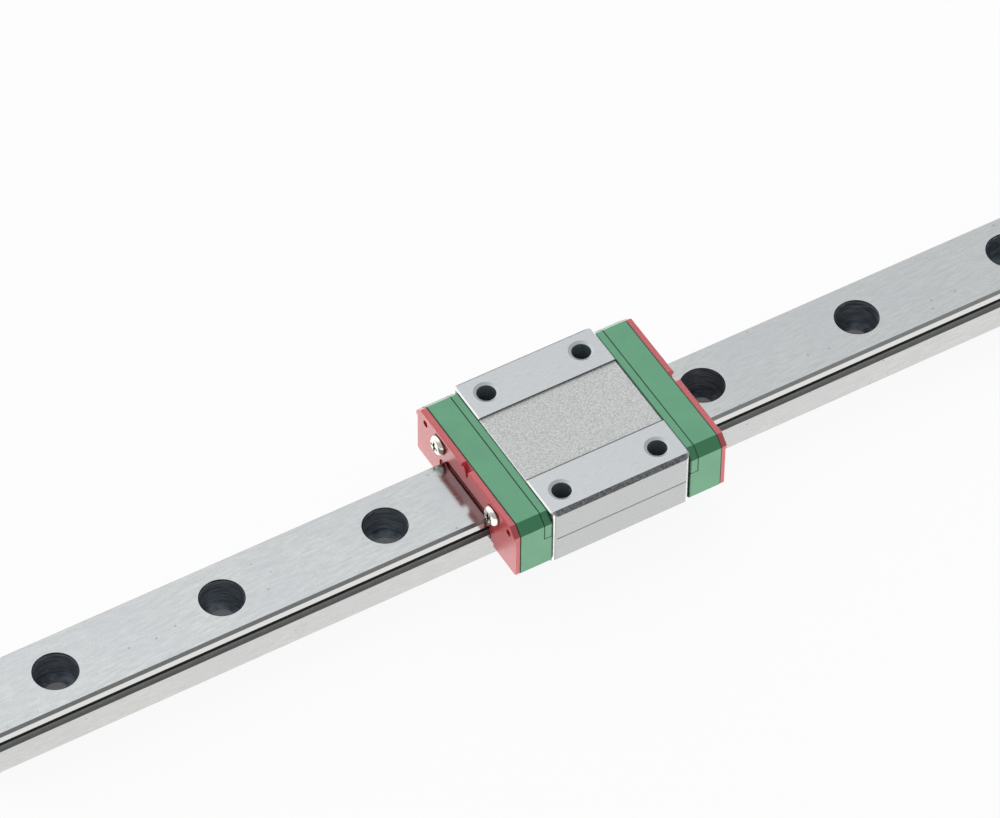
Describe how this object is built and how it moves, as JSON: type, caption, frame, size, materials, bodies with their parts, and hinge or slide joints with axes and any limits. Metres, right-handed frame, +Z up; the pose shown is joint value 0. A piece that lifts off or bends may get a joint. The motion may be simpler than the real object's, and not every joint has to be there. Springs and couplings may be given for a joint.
{
  "type": "linear guide carriage",
  "caption": "Miniature profile rail guide: short recirculating ball carriage with green end caps and red wiper seals, riding on a ground steel rail with counterbored holes.",
  "frame": {"origin": "middle of the rail's underside, on the guide's middle plane", "axes": "+X along the rail, +Z up out of the carriage's mounting face, +Y across the rail"},
  "size_m": [0.2, 0.027, 0.013],
  "materials": {
    "rail_steel": "ground, fine grain along the rail",
    "block_steel": "satin ground lands, pickled recess",
    "green_plastic": "moulded, satin",
    "red_seal": "moulded, slightly translucent",
    "screw_steel": "nickel plated",
    "wire_steel": "drawn spring wire",
    "ball_steel": "polished bearing steel"
  },
  "bodies": {
    "rail": {"guide_rail": "rail_steel"},
    "carriage": {"carriage_block": "block_steel", "left_return_guide": "green_plastic", "left_end_cap": "green_plastic", "left_end_seal": "red_seal", "left_end_screws": "screw_steel", "right_return_guide": "green_plastic", "right_end_cap": "green_plastic", "right_end_seal": "red_seal", "right_end_screws": "screw_steel", "front_retainer_wire": "wire_steel", "front_loaded_balls": "ball_steel", "front_return_balls": "ball_steel", "front_left_turn_balls": "ball_steel", "front_right_turn_balls": "ball_steel", "back_retainer_wire": "wire_steel", "back_loaded_balls": "ball_steel", "back_return_balls": "ball_steel", "back_left_turn_balls": "ball_steel", "back_right_turn_balls": "ball_steel"}
  },
  "joints": [
    {"name": "carriage_slide", "type": "slide", "parent": "rail", "child": "carriage", "axis": [1, 0, 0], "range_m": [-0.074, 0.091]}
  ]
}
